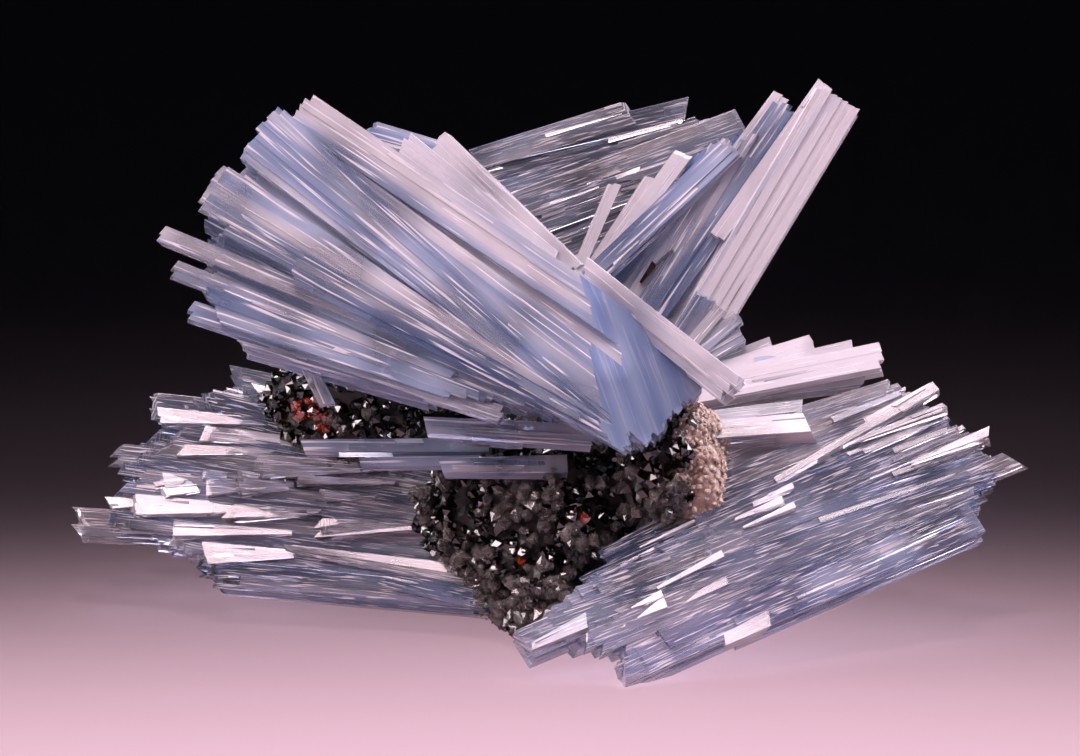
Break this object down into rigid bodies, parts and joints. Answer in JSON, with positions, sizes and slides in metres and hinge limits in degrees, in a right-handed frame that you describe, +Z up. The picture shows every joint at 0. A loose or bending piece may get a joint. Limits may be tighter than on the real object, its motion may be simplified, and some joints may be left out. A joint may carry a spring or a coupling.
{
  "type": "barite crystal specimen",
  "caption": "Fans and sheaves of pale blue bladed barite crystals, some milky and some clear, on a lump of dark druse-covered matrix that rests on a flat base.",
  "frame": {"origin": "under the middle of the specimen's bounding box, on the surface that it rests on", "axes": "+Z up, +X along the longest extent, to the right as seen from the front, +Y to the back"},
  "size_m": [0.095, 0.0498, 0.052],
  "materials": {
    "matrix": "dark, glittering druse",
    "barite_milky": "milky pale blue crystal with glassy faces",
    "barite_clear": "clear grey-blue crystal with glassy faces"
  },
  "bodies": {
    "root": {"matrix": "matrix", "upper_left_fan": "barite_milky", "upper_right_sheaf": "barite_milky", "right_spray": "barite_milky", "front_rod_upper": "barite_milky", "front_rod_lower": "barite_milky", "left_rod_long": "barite_milky", "left_rod_short": "barite_milky", "back_fan": "barite_clear", "lower_right_fan": "barite_clear", "lower_left_fan": "barite_clear"}
  },
  "joints": []
}
